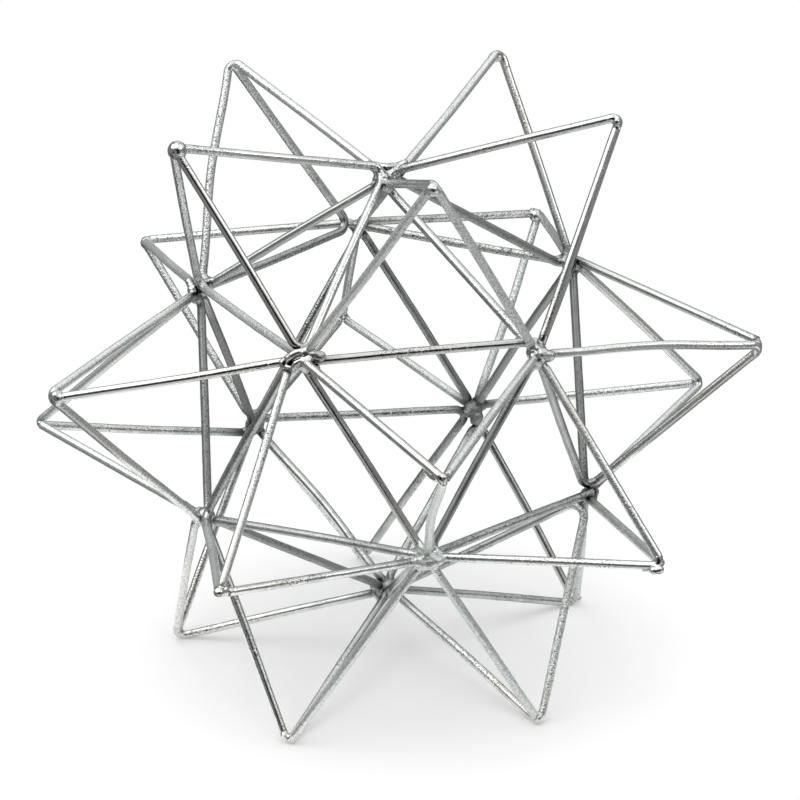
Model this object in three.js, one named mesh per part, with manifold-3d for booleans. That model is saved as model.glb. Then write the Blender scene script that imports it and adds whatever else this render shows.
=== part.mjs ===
// A metal star decoration of round wire, welded by hand: a hollow ball with twenty three-sided rays.
// Twelve hub welds lie at the corners of an icosahedron, and each of its twenty faces carries a ray.
// A ray is a closed wire loop, which is two of its legs and one edge of the core, and a strut, which
// is its third leg. The struts of the top and foot rays run on round a hub as the last core edges.
// Millimetres, +Z up. The star stands on five foot points, with the origin on the floor below it.

import * as THREE from "three";
import { mergeVertices } from "three/addons/utils/BufferGeometryUtils.js";
import Module from "manifold-3d";

// Driving dimensions
const HUB_RADIUS = 60; // middle of the star to the middle of a hub
const RAY_HEIGHT = 51.5; // face of the core to where the legs of a ray would meet
const WIRE_DIAMETER = 2.3;
const WELD_CORE_RADIUS = 1.5; // ball of weld metal that the wires bend round at a hub
const WELD_RADIUS = 4.2; // reach of the weld metal between the wires
const POINT_INSIDE_RADIUS = 0.6; // inside of the tight bend at a ray's point
const FIT_GAP = 0.3; // between pieces that touch
const FOOT_FLAT_DEPTH = 0.4; // rubbed off each foot point

// How far hubs and points of this hand-made star stand off their regular places: right, back and up.
// The star stands on all five foot points, so none of them leans up or down.
const LEANS = {
  top_hub: [-1, 0, 0.5],
  upper_hub_1: [2, 0, 2],
  upper_hub_2: [-0.5, 0, -1],
  upper_hub_3: [2, 0, -0.5],
  upper_hub_5: [2.5, 0, -1.5],
  lower_hub_3: [-1.5, 0, 0.5],
  lower_hub_4: [0.5, 0, 2.5],
  lower_hub_5: [-0.5, 0, -1],
  top_point_1: [1, 0, 1],
  top_point_2: [-1, 0, 1],
  top_point_3: [4, 0, -1.5],
  top_point_4: [-1, 0, 0.5],
  top_point_5: [-1.5, 0, 0.5],
  upper_point_1: [-2, 0, 0],
  upper_point_2: [2.5, 0, 0],
  upper_point_3: [-0.5, 0, -1],
  upper_point_4: [-0.5, 0, -2],
  upper_point_5: [0.5, 0, -2],
  lower_point_1: [2, 0, 0],
  lower_point_2: [-1, 0, 2.5],
  lower_point_3: [2, 0, 0],
  lower_point_4: [0, 0, -1],
  lower_point_5: [1.5, 0, 1],
  foot_point_1: [1.5, 3, 0],
  foot_point_2: [-0.5, -1, 0],
  foot_point_4: [-3, 0, 0],
  foot_point_5: [-0.5, 4, 0],
};
const PLAIN_STRUT = "foot_ray_strut_5"; // stops at its first hub: the star lacks the core edge beyond it

// How finely the round shapes are faceted
const WIRE_SIDES = 8;
const BEND_STEPS = 4;
const WELD_DETAIL = 1;

// The two halves of the star are each other's image through its middle
const HALVES = [
  { side: 1, cap: "top", band: "upper" },
  { side: -1, cap: "foot", band: "lower" },
];
const RING_COUNT = 5;
const FIRST_HUB_ANGLE = THREE.MathUtils.degToRad(-126);

const wireRadius = WIRE_DIAMETER / 2;
const hubBendRadius = WELD_CORE_RADIUS + FIT_GAP + wireRadius;
const pointBendRadius = POINT_INSIDE_RADIUS + wireRadius;

const wireMetal = new THREE.MeshStandardMaterial({ color: 0xb4b6b3, roughness: 0.35, metalness: 1 });
const weldMetal = new THREE.MeshStandardMaterial({ color: 0x9b9d9a, roughness: 0.5, metalness: 1 });

const wasm = await Module();
wasm.setup();

// A closed geometry as a solid that can be cut.
function solidOf(geometry) {
  const bare = geometry.clone();
  bare.deleteAttribute("normal");
  bare.deleteAttribute("uv");
  const merged = mergeVertices(bare);
  return new wasm.Manifold(
    new wasm.Mesh({
      numProp: 3,
      vertProperties: new Float32Array(merged.attributes.position.array),
      triVerts: new Uint32Array(merged.index.array),
    }),
  );
}

// A cut solid as a geometry again.
function geometryOf(solid) {
  const mesh = solid.getMesh();
  const geometry = new THREE.BufferGeometry();
  geometry.setAttribute("position", new THREE.BufferAttribute(mesh.vertProperties, mesh.numProp));
  geometry.setIndex(new THREE.BufferAttribute(mesh.triVerts, 1));
  geometry.computeVertexNormals();
  return geometry;
}

// The main body of a cut solid, without the scraps that the cuts part from it.
function largestBody(solid) {
  return solid.decompose().reduce((first, second) => (second.volume() > first.volume() ? second : first));
}

// A wire's middle line through its stations. Station i lies at t = i / steps, however long the step.
class WirePath extends THREE.Curve {
  constructor(stations) {
    super();
    this.stations = stations;
    this.steps = stations.length - 1;
  }

  between(t, key, target) {
    const place = t * this.steps;
    const i = Math.min(Math.floor(place), this.steps - 1);
    return target.lerpVectors(this.stations[i][key], this.stations[i + 1][key], place - i);
  }

  getPoint(t, target = new THREE.Vector3()) {
    return this.between(t, "point", target);
  }

  getTangent(t, target = new THREE.Vector3()) {
    return this.between(t, "direction", target).normalize();
  }

  getUtoTmapping(u) {
    return u;
  }
}

// Unit vector from one place to another.
function towards(from, to) {
  return to.clone().sub(from).normalize();
}

// Stations round the bend of a wire at a corner between two other places.
function bend(before, corner, after, radius) {
  const back = towards(corner, before);
  const ahead = towards(corner, after);
  const halfAngle = back.angleTo(ahead) / 2;
  const axis = ahead.clone().cross(back).normalize();
  const middle = back.clone().add(ahead).normalize();
  const centre = corner.clone().addScaledVector(middle, radius / Math.sin(halfAngle));
  const start = corner.clone().addScaledVector(back, radius / Math.tan(halfAngle));
  const stations = [];
  for (let i = 0; i <= BEND_STEPS; i++) {
    const turned = ((Math.PI - 2 * halfAngle) * i) / BEND_STEPS;
    stations.push({
      point: start.clone().sub(centre).applyAxisAngle(axis, turned).add(centre),
      direction: back.clone().negate().applyAxisAngle(axis, turned),
    });
  }
  return stations;
}

// A closed loop over two hubs and a ray's point.
function loopStations(firstHub, secondHub, point) {
  const first = bend(point, firstHub, secondHub, hubBendRadius);
  const second = bend(firstHub, secondHub, point, hubBendRadius);
  const third = bend(secondHub, point, firstHub, pointBendRadius);
  return [...first, ...second, ...third, first[0]];
}

// How far from a ray's point the cut end of its strut sits on the loop's bend.
function seatDistance(point, firstHub, secondHub, strutHub) {
  const loopNormal = towards(point, firstHub).cross(towards(point, secondHub)).normalize();
  const rise = Math.abs(loopNormal.dot(towards(point, strutHub)));
  const lowestCorner = wireRadius * Math.sqrt(1 - rise * rise);
  return (wireRadius + FIT_GAP + lowestCorner) / rise;
}

// An open wire from a ray's point, round any hubs on its way, up to the weld of its last hub.
function strutStations(point, seat, hubs) {
  const corners = [point, ...hubs];
  const last = corners.length - 1;
  const setOff = towards(point, corners[1]);
  const arrive = towards(corners[last - 1], corners[last]);
  const stations = [{ point: point.clone().addScaledVector(setOff, seat), direction: setOff }];
  for (let i = 1; i < last; i++) {
    stations.push(...bend(corners[i - 1], corners[i], corners[i + 1], hubBendRadius));
  }
  const end = corners[last].clone().addScaledVector(arrive, -hubBendRadius);
  stations.push({ point: end, direction: arrive });
  return stations;
}

function isLoop(stations) {
  return stations[0] === stations.at(-1);
}

function wireGeometry(stations, radius) {
  const path = new WirePath(stations);
  if (isLoop(stations)) return new THREE.TubeGeometry(path, path.steps, radius, WIRE_SIDES, true);
  const section = new THREE.Shape().absarc(0, 0, radius, 0, 2 * Math.PI);
  const sidesPerHalf = WIRE_SIDES / 2;
  const options = { steps: path.steps, curveSegments: sidesPerHalf, extrudePath: path };
  return new THREE.ExtrudeGeometry(section, options);
}

// The space that a wire needs in a weld: the wire and the gap all round it.
function wireSpace(stations) {
  if (isLoop(stations)) return solidOf(wireGeometry(stations, wireRadius + FIT_GAP));
  const lengthened = stations.map((station) => ({ ...station, point: station.point.clone() }));
  lengthened[0].point.addScaledVector(stations[0].direction, -FIT_GAP);
  lengthened.at(-1).point.addScaledVector(stations.at(-1).direction, FIT_GAP);
  return solidOf(wireGeometry(lengthened, wireRadius + FIT_GAP));
}

// Regular place of hub k on a half's ring, counted round from the first hub.
function ringHub(side, k) {
  const angle = FIRST_HUB_ANGLE + (2 * Math.PI * k) / RING_COUNT;
  const reach = HUB_RADIUS / Math.sqrt(5);
  return new THREE.Vector3(2 * reach * Math.cos(angle), 2 * reach * Math.sin(angle), reach).multiplyScalar(side);
}

// Regular place of the point over a face of the core.
function rayPoint(...hubs) {
  const middle = new THREE.Vector3();
  hubs.forEach((hub) => middle.addScaledVector(hub, 1 / hubs.length));
  return middle.setLength(middle.length() + RAY_HEIGHT);
}

// A regular place moved to where the hand-made star has it.
function leaned(name, place) {
  const lean = LEANS[name] ?? [0, 0, 0];
  return place.clone().add(new THREE.Vector3(...lean));
}

// The hubs, by name
const hubs = new Map();
for (const { side, cap, band } of HALVES) {
  hubs.set(`${cap}_hub`, leaned(`${cap}_hub`, new THREE.Vector3(0, 0, side * HUB_RADIUS)));
  for (let k = 0; k < RING_COUNT; k++) {
    const name = `${band}_hub_${k + 1}`;
    hubs.set(name, leaned(name, ringHub(side, k)));
  }
}

// The wires of a ray: a loop over two of its hubs, and a strut to the third and on to any further hub.
function rayWires(ray, k, point, loopHubs, strutHubs) {
  const places = loopHubs.map((name) => hubs.get(name));
  const strutPlaces = strutHubs.map((name) => hubs.get(name));
  const seat = seatDistance(point, ...places, strutPlaces[0]);
  return [
    { name: `${ray}_ray_loop_${k}`, hubs: loopHubs, stations: loopStations(...places, point) },
    { name: `${ray}_ray_strut_${k}`, hubs: strutHubs, stations: strutStations(point, seat, strutPlaces) },
  ];
}

const wires = [];
for (const { side, cap, band } of HALVES) {
  const otherBand = HALVES.find((half) => half.side !== side).band;
  const capPlace = new THREE.Vector3(0, 0, side * HUB_RADIUS);
  for (let k = 0; k < RING_COUNT; k++) {
    const next = (k + 1) % RING_COUNT;
    const across = (k + 3) % RING_COUNT; // the hub of the other ring that faces the edge from k to next
    const here = `${band}_hub_${k + 1}`;
    const ahead = `${band}_hub_${next + 1}`;
    const facing = `${otherBand}_hub_${across + 1}`;
    const edge = [ringHub(side, k), ringHub(side, next)];
    const capPoint = leaned(`${cap}_point_${k + 1}`, rayPoint(...edge, capPlace));
    const bandPoint = leaned(`${band}_point_${k + 1}`, rayPoint(...edge, ringHub(-side, across)));
    const capStrutHubs = `${cap}_ray_strut_${k + 1}` === PLAIN_STRUT ? [here] : [here, ahead];
    wires.push(...rayWires(cap, k + 1, capPoint, [`${cap}_hub`, ahead], capStrutHubs));
    wires.push(...rayWires(band, k + 1, bandPoint, [here, facing], [ahead]));
  }
}

// The floor cuts a flat on every foot point.
const footLoops = wires.filter((wire) => wire.name.startsWith("foot_ray_loop"));
const lows = footLoops.map((wire) => {
  const geometry = wireGeometry(wire.stations, wireRadius);
  geometry.computeBoundingBox();
  return geometry.boundingBox.min.z;
});
const floorHeight = Math.max(...lows) + FOOT_FLAT_DEPTH;
const slabWidth = 2 * (HUB_RADIUS + RAY_HEIGHT);
const underFloor = new THREE.BoxGeometry(slabWidth, slabWidth, slabWidth);
underFloor.translate(0, 0, floorHeight - slabWidth / 2);
const underFloorSolid = solidOf(underFloor);

function addPiece(name, geometry, material) {
  const piece = new THREE.Mesh(geometry, material);
  piece.name = name;
  star.add(piece);
}

const star = new THREE.Group();
for (const wire of wires) {
  const round = wireGeometry(wire.stations, wireRadius);
  const stands = footLoops.includes(wire);
  addPiece(wire.name, stands ? geometryOf(solidOf(round).subtract(underFloorSolid)) : round, wireMetal);
}
for (const [name, place] of hubs) {
  const ball = new THREE.IcosahedronGeometry(WELD_RADIUS, WELD_DETAIL).translate(...place);
  let weld = solidOf(ball);
  for (const wire of wires) {
    if (wire.hubs.includes(name)) weld = weld.subtract(wireSpace(wire.stations));
  }
  addPiece(`${name}_weld`, geometryOf(largestBody(weld)), weldMetal);
}

// The origin is on the floor, under the middle of the star's box.
const middle = new THREE.Box3().setFromObject(star, true).getCenter(new THREE.Vector3());
star.position.set(-middle.x, -middle.y, -floorHeight);

const part = new THREE.Group();
part.add(star);

export default part;
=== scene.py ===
"""Metal star decoration: a hollow star of silver-plated wire, bent and welded by hand."""

import math
import random

import bmesh
import bpy
from bpy.props import FloatProperty, FloatVectorProperty, IntProperty, PointerProperty
from mathutils import Matrix, Vector, noise


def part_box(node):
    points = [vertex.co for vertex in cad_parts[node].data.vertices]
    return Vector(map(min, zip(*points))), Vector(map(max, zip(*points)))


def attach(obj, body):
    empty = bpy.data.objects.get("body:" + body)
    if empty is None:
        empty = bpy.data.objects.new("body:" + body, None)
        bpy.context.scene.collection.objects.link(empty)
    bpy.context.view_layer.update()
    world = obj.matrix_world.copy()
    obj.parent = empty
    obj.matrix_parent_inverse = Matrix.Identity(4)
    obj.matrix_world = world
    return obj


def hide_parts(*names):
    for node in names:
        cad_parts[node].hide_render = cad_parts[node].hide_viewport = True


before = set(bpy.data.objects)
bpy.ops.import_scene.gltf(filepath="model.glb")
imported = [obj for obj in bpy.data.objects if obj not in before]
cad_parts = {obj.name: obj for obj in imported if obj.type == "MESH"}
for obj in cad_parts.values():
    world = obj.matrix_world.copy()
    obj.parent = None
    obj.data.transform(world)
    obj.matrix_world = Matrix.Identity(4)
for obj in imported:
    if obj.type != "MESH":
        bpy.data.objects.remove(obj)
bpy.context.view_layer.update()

bl_info = {
    "name": "Metal Star Decoration",
    "version": (1, 0, 0),
    "blender": (4, 5, 0),
    "location": "View3D > Sidebar > Star",
    "description": "Dresses the welded wire star in round wire, weld beads and silver plating",
    "category": "Object",
}

BODY = "root"
MM = 0.001

# The photograph's view, in degrees: round the star, where 0 looks along +Y, and above the horizon
PHOTO_AZIMUTH = -9.42
PHOTO_ELEVATION = 23.29

# Names of the marks that wires and welds carry for their plating
BURN_AND_SHADE_ATTRIBUTE = "burn_and_shade"
TONE_ATTRIBUTE = "tone"
GRAIN_ATTRIBUTE = "grain"

# The two halves of the star are each other's image through its middle
HALVES = ((1, "top", "upper", "lower"), (-1, "foot", "lower", "upper"))
RING_COUNT = 5
FACING_STEP = 3  # from a hub to the one that its edge faces on the other ring
FIRST_HUB_ANGLE = math.radians(-126)

# How far hubs and points stand off their regular places, in millimetres: right, back and up
LEANS = {
    "top_hub": (-1, 0, 0.5),
    "upper_hub_1": (2, 0, 2),
    "upper_hub_2": (-0.5, 0, -1),
    "upper_hub_3": (2, 0, -0.5),
    "upper_hub_5": (2.5, 0, -1.5),
    "lower_hub_3": (-1.5, 0, 0.5),
    "lower_hub_4": (0.5, 0, 2.5),
    "lower_hub_5": (-0.5, 0, -1),
    "top_point_1": (1, 0, 1),
    "top_point_2": (-1, 0, 1),
    "top_point_3": (4, 0, -1.5),
    "top_point_4": (-1, 0, 0.5),
    "top_point_5": (-1.5, 0, 0.5),
    "upper_point_1": (-2, 0, 0),
    "upper_point_2": (2.5, 0, 0),
    "upper_point_3": (-0.5, 0, -1),
    "upper_point_4": (-0.5, 0, -2),
    "upper_point_5": (0.5, 0, -2),
    "lower_point_1": (2, 0, 0),
    "lower_point_2": (-1, 0, 2.5),
    "lower_point_3": (2, 0, 0),
    "lower_point_4": (0, 0, -1),
    "lower_point_5": (1.5, 0, 1),
    "foot_point_1": (1.5, 3, 0),
    "foot_point_2": (-0.5, -1, 0),
    "foot_point_4": (-3, 0, 0),
    "foot_point_5": (-0.5, 4, 0),
}

# How far single wires pass a hub or a point off its middle, in millimetres: right, back and up
SHIFTS = {
    "top_ray_loop_1": {"top_hub": (-0.5, 0, -2)},
    "top_ray_loop_2": {"top_hub": (0, 0, 1), "upper_hub_3": (-1, 0, -1.5), "top_point_2": (0.9, 0, 0.3)},
    "top_ray_loop_3": {"top_hub": (3, 0, 0), "top_point_3": (-0.6, 0, 0.5)},
    "top_ray_loop_4": {"top_hub": (0.5, 0, -0.5), "top_point_4": (0.7, 0, 0)},
    "top_ray_loop_5": {"top_hub": (0.5, 0, 2.5), "top_point_5": (0.5, 0, -1)},
    "top_ray_strut_1": {"upper_hub_1": (-1, 0, -1), "upper_hub_2": (0, 0, 3.5)},
    "top_ray_strut_2": {"top_point_2": (0.9, 0, 0.3)},
    "top_ray_strut_3": {"top_point_3": (-0.6, 0, 0)},
    "top_ray_strut_4": {"upper_hub_4": (-2, 0, -0.5), "top_point_4": (0.7, 0, -0.5)},
    "top_ray_strut_5": {"upper_hub_5": (-0.5, 0, 1.5)},
    "upper_ray_loop_1": {"upper_hub_1": (-1.5, 0, 1), "upper_point_1": (-1, 0, -1)},
    "upper_ray_loop_2": {"lower_hub_5": (0, 0, 1.5)},
    "upper_ray_loop_4": {"upper_hub_4": (2, 0, 1)},
    "upper_ray_loop_5": {"lower_hub_3": (1, 0, -2.5), "upper_point_5": (-1.2, 0, 1)},
    "upper_ray_strut_1": {"upper_point_1": (-1.4, 0, -2)},
    "upper_ray_strut_2": {"upper_hub_3": (0, 0, 1.5)},
    "upper_ray_strut_3": {"upper_hub_4": (0, 0, 1)},
    "lower_ray_loop_2": {"lower_hub_2": (1, 0, -3), "lower_point_2": (0.1, 0, -0.7)},
    "lower_ray_loop_3": {"upper_hub_1": (-3, 0, -0.5), "lower_point_3": (-0.8, 0, 0.7)},
    "lower_ray_loop_5": {"upper_hub_3": (0, 0, 1)},
    "lower_ray_strut_2": {"lower_point_2": (0, 0, 0.5)},
    "lower_ray_strut_3": {"lower_hub_4": (0, 0, -1), "lower_point_3": (-0.8, 0, 0.7)},
    "lower_ray_strut_5": {"lower_hub_1": (0, 0, 1)},
    "foot_ray_loop_1": {"foot_point_1": (0.2, -4.5, 0)},
    "foot_ray_loop_2": {"lower_hub_3": (-2, 0, 1.5)},
    "foot_ray_loop_4": {"lower_hub_5": (1, 0, -0.3)},
    "foot_ray_loop_5": {"foot_hub": (-2, 0, 0.5), "lower_hub_1": (1, 0, -3.5), "foot_point_5": (0, -3, 0)},
    "foot_ray_strut_1": {
        "lower_hub_1": (-1, 0, 0),
        "lower_hub_2": (0, 0, 1.5),
        "foot_point_1": (0.2, -4.5, 0),
    },
    "foot_ray_strut_4": {"lower_hub_5": (2.6, -2, 2)},
    "foot_ray_strut_5": {"foot_point_5": (0, -3, 0)},
}

# Bends that are looser than the rest, as a share of the usual radius
LOOSE_BENDS = {
    ("top_ray_loop_3", "top_point_3"): 1.4,
    ("top_ray_loop_4", "top_point_4"): 1.3,
    ("upper_ray_loop_2", "upper_point_2"): 1.3,
    ("foot_ray_loop_2", "foot_point_2"): 1.4,
    ("foot_ray_loop_4", "lower_hub_5"): 1.3,
}

# Legs that bow more than by chance, in millimetres: right, back and up
BOWS = {
    ("lower_hub_4", "upper_point_1"): (-1, 0, 0.5),
    ("foot_hub", "lower_hub_2"): (0.7, 0, 0.2),
    ("upper_point_2", "upper_hub_2"): (0, 0, 1),
    ("upper_hub_5", "top_point_4"): (-1, 0, 0),
    ("lower_hub_1", "upper_point_3"): (0.5, 0, 0),
}
PLAIN_STRUT = "foot_ray_strut_5"  # stops at its first hub

# Steps along the middle line of a wire
BEND_STEP = 0.4 * MM
LEAST_BEND_STEPS = 8
LEG_STEP = 1.2 * MM
LEAST_LEG_STEPS = 2
EVENED_STEPS = 5  # to each side, over which one leg's look passes into the next one's

# Waves by which a wire swells and thins: width and share
SWELLS = ((3.5 * MM, 1), (1.3 * MM, 0.5))

# Texture places of a bar: start and length of its rows along it and round it, and the place of its cut ends
UV_LAYER = "OFBake"
UV_ALONG = (0.01, 0.98)
UV_AROUND = (0.05, 0.90)
UV_CUT_END = (0.995, 0.995)

# Legs that run into each other at a hub or point: the two far ends, where their corner lies off the hub or
# point (right, back and up in millimetres), and the radius of the bend between them in millimetres
BRIDGES = {
    "top_point_3": ("top_hub", "upper_hub_3", (-0.6, 0, 0.4), 2.2),
    "upper_point_1": ("upper_hub_1", "upper_hub_2", (-1.4, 0, -2), 2.2),
    "upper_point_2": ("upper_hub_3", "lower_hub_5", (0, 0, 0), 2.2),
    "lower_point_4": ("upper_hub_2", "lower_hub_4", (0.2, 0, -0.8), 2),
    "lower_hub_3": ("lower_point_2", "foot_point_2", (-1.6, 0, 1.4), 3),
}
BRIDGE_RUN = 2 * MM  # past each end of the bend
BRIDGE_THICKNESS = 1.02  # as a share of the wire's

# Weld metal that stands out at single hubs and points, as seen from the photo's side. Each strand or drop
# has its radius and its places: right of the hub or point, up and towards the viewer, in millimetres
STRANDS = {
    "top_hub": (
        (1.1, (-4.5, 3.2, 0), (-2, 2.6, 0.5), (0.5, 2.3, 1), (3, 2.6, 0.5), (5, 3.4, 0)),
        (0.8, (1, 0, 2), (2.5, 1.8, 1)),
    ),
    "upper_hub_1": (
        (1.0, (-5, -1, 1), (-2.5, 1, 2), (0, 2, 2)),
        (0.7, (-5, -2, 1), (-2.5, -2.5, 2), (-1.5, -1, 2.5), (0.5, 0, 2.5)),
        (1.5, (0.5, 1.5, 2), (4.5, 0.5, 1.5)),
        (1.0, (1.5, -0.5, 3)),
        (1.2, (3.5, -2.5, 1.5)),
    ),
    "upper_hub_2": (
        (1.6, (1.2, 0, 2), (3, -0.5, 1)),
        (1.7, (0.3, -1.5, 1.5)),
        (1.0, (-1.8, 2.2, 2)),
        (0.9, (0, 1.5, 2.2)),
    ),
    "upper_hub_5": (
        (1.1, (-3.2, 2.2, 0), (-2, 0.4, 0.8)),
        (1.7, (-1.9, -0.2, 1), (-1.3, -1.4, 1)),
        (1.0, (1.5, 1.8, 1.5), (2.4, 1, 1.2)),
    ),
    "lower_hub_4": (
        (1.6, (-2.2, -1.2, 2.4), (0.5, -1.6, 2.8), (3, -1, 2.4)),
        (1.5, (-0.3, -0.4, 2.8), (2, -0.3, 2.6)),
        (1.2, (-1.5, -2.5, 1.2), (2, -2.5, 1.2)),
        (0.9, (-2.3, 2.6, 1), (-3.2, 2, 1.2)),
    ),
    "lower_hub_5": (
        (1.0, (2.2, -1, 0), (2.8, 1, 0)),
    ),
    "lower_hub_1": (
        (1.3, (-2.2, -1.3, 1.5)),
        (1.7, (0.8, -2.2, 1), (0.4, -3.4, 0.5)),
        (0.7, (1.6, 2.8, 0), (2.4, 2.6, 0), (3, 1.6, 0)),
    ),
    "foot_hub": (
        (1.2, (-4.5, 0.8, 0.5), (-2.5, 0.3, 1), (-1, 1.2, 1)),
        (1.3, (-2.5, 0.3, 1), (-2.6, -2.6, 0.5)),
        (1.0, (-4, -1, 0.5), (-2.6, -2.6, 0.5)),
    ),
    "upper_point_3": ((1.5, (-1.7, 0.1, 0.5)),),
    "upper_point_5": ((1.4, (0.7, 0.7, 0.3)),),
    "lower_point_3": ((1.5, (-0.8, 0.9, 0.8)),),
    "lower_point_4": ((1.2, (-2.8, -1.1, 0.4), (-1.2, -0.9, 0.4)),),
    "foot_point_1": ((1.1, (0.2, -1.8, 4.3)),),
}

# Points whose bead isn't left to chance, as a share of the usual radius. They have no drop beside it
POINT_BEADS = {
    "top_point_2": 0.6,
    "top_point_3": 0.7,
    "top_point_4": 0.6,
    "top_point_5": 1.3,
    "upper_point_1": 0.7,
    "upper_point_2": 0.7,
    "upper_point_4": 1.0,
    "lower_point_1": 0.5,
    "lower_point_2": 0.6,
    "lower_point_3": 0.9,
    "lower_point_4": 0.7,
    "lower_point_5": 0.7,
    "foot_point_2": 0.6,
    "foot_point_3": 0.7,
}

# Hubs with less weld metal than the rest, as a share of the usual radius
HUB_CORES = {"upper_hub_4": 0.65, "upper_hub_5": 0.8, "lower_hub_4": 0.55, "lower_hub_5": 0.6}

# Weld metal along the wires: its thickness at the corner and at its end, as shares of the wire's
HUB_RUN = (1.15, 0.86)
POINT_RUN = (1.16, 0.88)
RUN_CHANCE = (0.75, 1.1)  # least and most of its length
RUN_TAPER = 1.5
LEAST_RUN_POINTS = 3

# Rods and drops of weld metal inside a hub and at a point: least and most radius, in millimetres
HUB_RODS = (1.0, 1.6)
HUB_DROPS = (0.9, 1.5)
POINT_DROPS = (0.9, 1.2)
HUB_DROP_ASIDE = 1 * MM  # from a drop to its wire
POINT_DROP_ASIDE = 0.6 * MM
POINT_BEAD_CHANCE = (0.85, 1.1)  # least and most of the usual radius
POINT_BEAD_PLACE = 0.4  # as a share of the way from the bend to the strut's end

# How the welds are fused: facets and steps of their bars, then smoothing, then lumps of a height and a width
BAR_SIDES = 12
ROD_STEPS = 4
BEAD_SUBDIVISIONS = 2
FLOW_FACTOR = 0.5
FLOW_STEPS = 5
HUB_LUMPS = (0.24 * MM, 1.8 * MM)
POINT_LUMPS = (0.1 * MM, 1.2 * MM)
FINE_LUMP_HEIGHT = 0.3  # as shares of the main lumps
FINE_LUMP_WIDTH = 0.4

# How far each hub is burnt by its welding and darkened with painted shade, from 1 for a dull dark crust with
# painted shade to less than 0 for crevices without painted shade
HUB_BURN_AND_SHADE = {
    "top_hub": 0.4,
    "upper_hub_1": 0.35,
    "upper_hub_2": 0.05,
    "upper_hub_3": 0.75,
    "upper_hub_4": 0.2,
    "upper_hub_5": 0.5,
    "lower_hub_1": 1.0,
    "lower_hub_2": 0.8,
    "lower_hub_3": -0.2,
    "lower_hub_4": -0.4,
    "lower_hub_5": 0.9,
    "foot_hub": 0.75,
}
# Wires that get neither burn nor painted shade
CLEAN_WIRES = ("foot_ray_loop_4",)  # not burnt
# Distances from a hub over which its burn and painted shade fade out
BURN_AND_SHADE_NEAR = 4 * MM  # from a hub, as far as it is burnt in full
BURN_AND_SHADE_FAR = 15 * MM

# How the plating of single legs looks, from 1 for pale and matt to -1 for dull
LEG_TONES = {
    1.0: (
        ("lower_hub_1", "lower_point_1"), ("upper_hub_5", "upper_hub_1"), ("lower_hub_1", "upper_point_3"),
        ("lower_hub_4", "foot_point_4"), ("lower_hub_5", "foot_point_5"), ("upper_hub_2", "top_point_1"),
    ),
    0.7: (
        ("top_hub", "top_point_3"), ("upper_hub_4", "top_point_3"), ("upper_hub_1", "top_point_1"),
        ("lower_hub_5", "lower_point_5"), ("top_hub", "top_point_4"), ("upper_hub_5", "upper_point_4"),
        ("upper_hub_5", "upper_point_5"), ("lower_hub_3", "lower_point_2"), ("upper_hub_2", "upper_point_1"),
        ("lower_hub_3", "lower_point_3"), ("lower_hub_4", "foot_point_3"),
    ),
    0.4: (
        ("lower_hub_3", "upper_point_5"), ("top_hub", "upper_hub_1"), ("upper_hub_2", "upper_point_2"),
        ("lower_hub_4", "upper_point_1"), ("lower_hub_1", "lower_point_5"), ("upper_hub_5", "lower_point_2"),
        ("upper_hub_4", "lower_point_1"), ("upper_hub_3", "upper_point_3"), ("upper_hub_1", "lower_point_3"),
        ("upper_hub_4", "top_point_4"), ("upper_hub_5", "top_point_4"), ("lower_hub_2", "upper_point_4"),
        ("lower_hub_5", "lower_point_4"), ("upper_hub_3", "lower_point_5"), ("lower_hub_3", "foot_point_2"),
        ("lower_hub_5", "foot_point_4"),
    ),
    -0.3: (
        ("top_hub", "top_point_2"), ("top_hub", "upper_hub_5"), ("upper_hub_3", "upper_point_2"),
        ("lower_hub_3", "upper_hub_1"), ("lower_hub_1", "upper_hub_4"), ("upper_hub_4", "upper_hub_5"),
        ("foot_hub", "foot_point_5"), ("lower_hub_1", "foot_point_1"), ("lower_hub_3", "lower_hub_4"),
        ("lower_hub_1", "foot_point_5"), ("upper_hub_2", "lower_hub_5"), ("lower_hub_4", "lower_hub_5"),
        ("foot_hub", "lower_hub_5"),
    ),
    -0.6: (
        ("lower_hub_4", "upper_hub_2"), ("upper_hub_3", "lower_hub_1"), ("lower_hub_5", "upper_hub_3"),
        ("top_hub", "upper_hub_3"), ("foot_hub", "lower_hub_3"), ("upper_hub_5", "lower_hub_3"),
    ),
    -1.0: (
        ("lower_hub_2", "upper_hub_5"),
    ),
}
HUB_TONES = {"lower_hub_4": 0.9}  # the same for the weld of a hub

# How coarse the plating of single legs is, from 1 down to -1 for legs that mirror
LEG_GRAINS = {
    1.0: (
        ("upper_hub_5", "top_point_4"), ("lower_hub_5", "foot_point_4"), ("lower_hub_5", "foot_point_5"),
        ("upper_hub_3", "upper_hub_4"), ("lower_hub_2", "upper_point_4"), ("upper_hub_2", "top_point_1"),
        ("lower_hub_1", "upper_point_3"),
    ),
    0.6: (
        ("upper_hub_5", "top_point_5"), ("foot_hub", "lower_hub_3"), ("foot_hub", "lower_hub_1"),
        ("lower_hub_4", "lower_hub_5"), ("upper_hub_4", "upper_point_4"), ("upper_hub_4", "upper_point_3"),
        ("lower_hub_1", "lower_hub_2"), ("lower_hub_1", "lower_point_5"), ("lower_hub_2", "lower_point_2"),
        ("top_hub", "upper_hub_3"),
    ),
    -0.5: (
        ("lower_hub_1", "foot_point_5"), ("foot_hub", "foot_point_3"), ("upper_hub_1", "upper_hub_2"),
        ("lower_hub_3", "upper_point_5"),
    ),
    -1.0: (
        ("lower_hub_3", "foot_point_3"), ("upper_hub_2", "upper_point_2"), ("upper_hub_1", "top_point_5"),
        ("top_hub", "top_point_2"), ("top_hub", "upper_hub_5"), ("upper_hub_1", "upper_point_5"),
        ("upper_hub_2", "top_point_2"), ("upper_hub_3", "top_point_2"), ("upper_hub_3", "upper_point_2"),
        ("lower_hub_4", "lower_point_4"),
    ),
}

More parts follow.
